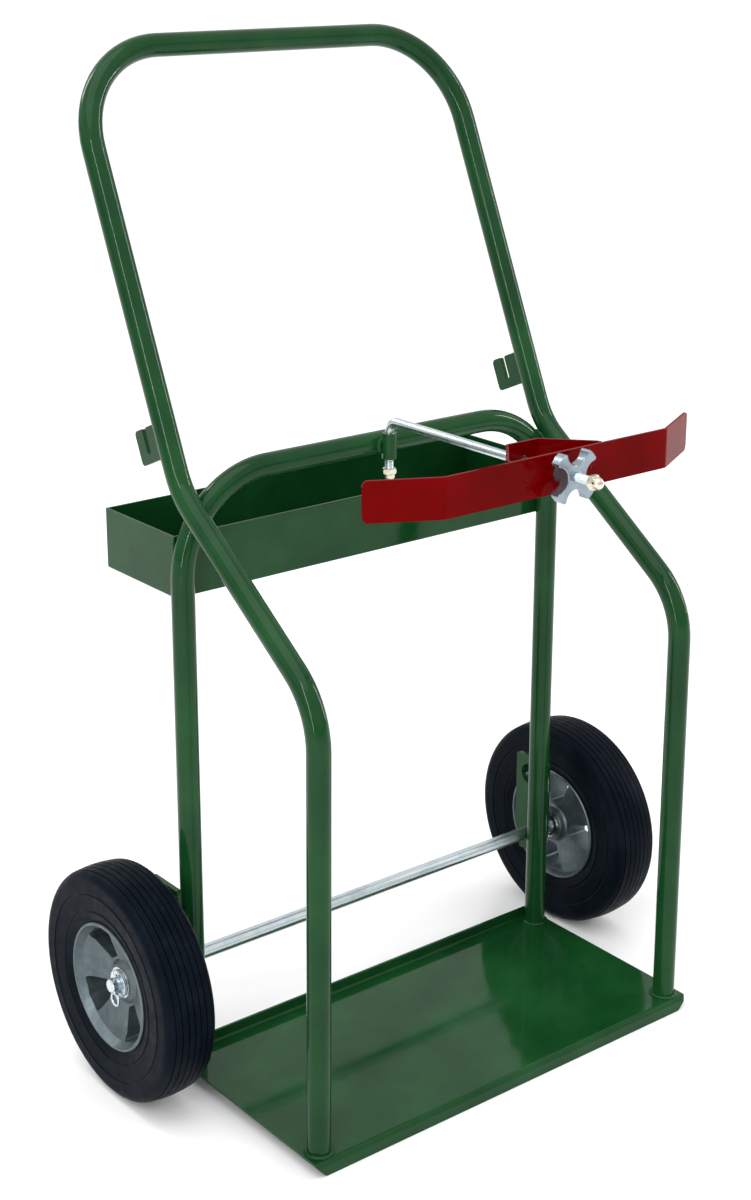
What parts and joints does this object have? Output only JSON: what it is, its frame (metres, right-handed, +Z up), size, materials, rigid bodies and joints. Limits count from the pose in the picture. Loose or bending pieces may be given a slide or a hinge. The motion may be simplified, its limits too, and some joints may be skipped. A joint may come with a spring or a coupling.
{
  "type": "oxy acetylene torch cart",
  "caption": "Gas welding hand cart: bent tube frame, base plate, rear tool tray, hose hooks, swinging rod and strap clamp with a star knob, and rubber wheels on an axle.",
  "frame": {"origin": "on the floor, under the middle of the cart's bounding box", "axes": "+X to the right of someone facing the front, +Y from the front to the handle, +Z up"},
  "size_m": [0.7232, 0.5587, 1.1257],
  "materials": {
    "green_paint": "glossy enamel",
    "red_paint": "glossy enamel",
    "zinc_plate": "bright zinc plating",
    "cast_aluminium": "satin casting",
    "tyre_rubber": "satin black rubber",
    "bearing_steel": "polished steel"
  },
  "bodies": {
    "frame": {"base_plate": "green_paint", "main_frame_tube": "green_paint", "rear_hoop_tube": "green_paint", "tool_tray": "green_paint", "axle": "zinc_plate", "clamp_pivot_sleeve": "green_paint", "left_hose_hook": "green_paint", "left_axle_bracket": "green_paint", "left_axle_spacer": "zinc_plate", "left_outer_washer": "zinc_plate", "left_cotter_pin": "zinc_plate", "left_outer_bearing_inner_ring": "bearing_steel", "left_inner_bearing_inner_ring": "bearing_steel", "right_hose_hook": "green_paint", "right_axle_bracket": "green_paint", "right_axle_spacer": "zinc_plate", "right_outer_washer": "zinc_plate", "right_cotter_pin": "zinc_plate", "right_outer_bearing_inner_ring": "bearing_steel", "right_inner_bearing_inner_ring": "bearing_steel"},
    "left_wheel": {"left_tyre": "tyre_rubber", "left_wheel_hub": "cast_aluminium", "left_outer_bearing_outer_ring": "bearing_steel", "left_inner_bearing_outer_ring": "bearing_steel", "left_outer_bearing_balls": "bearing_steel", "left_inner_bearing_balls": "bearing_steel"},
    "right_wheel": {"right_tyre": "tyre_rubber", "right_wheel_hub": "cast_aluminium", "right_outer_bearing_outer_ring": "bearing_steel", "right_inner_bearing_outer_ring": "bearing_steel", "right_outer_bearing_balls": "bearing_steel", "right_inner_bearing_balls": "bearing_steel"},
    "clamp_arm": {"clamp_rod": "zinc_plate", "pivot_acorn_nut": "zinc_plate", "rod_end_acorn_nut": "zinc_plate"},
    "clamp_jaw": {"clamp_strap": "red_paint", "wedge_bracket": "red_paint"},
    "clamp_knob": {"hand_knob": "cast_aluminium"}
  },
  "joints": [
    {"name": "left_wheel_spin", "type": "hinge", "parent": "frame", "child": "left_wheel", "pos_m": [-0.3306, 0.0896, 0.132], "axis": [1, 0, 0], "continuous": true},
    {"name": "right_wheel_spin", "type": "hinge", "parent": "frame", "child": "right_wheel", "pos_m": [0.3306, 0.0896, 0.132], "axis": [1, 0, 0], "continuous": true},
    {"name": "clamp_swing", "type": "hinge", "parent": "frame", "child": "clamp_arm", "pos_m": [0, 0.0477, 0.72], "axis": [0, 0, 1], "range_deg": [-60, 60]},
    {"name": "clamp_travel", "type": "slide", "parent": "clamp_arm", "child": "clamp_jaw", "axis": [0, 1, 0], "range_m": [-0.0143, 0.0246]},
    {"name": "knob_spin", "type": "hinge", "parent": "clamp_jaw", "child": "clamp_knob", "pos_m": [0, -0.22135, 0.72], "axis": [0, 1, 0], "range_deg": [-3300, 5640]}
  ],
  "couplings": [
    {"joint": "knob_spin", "follows": "clamp_travel", "rad_per_m": 3957.9}
  ]
}
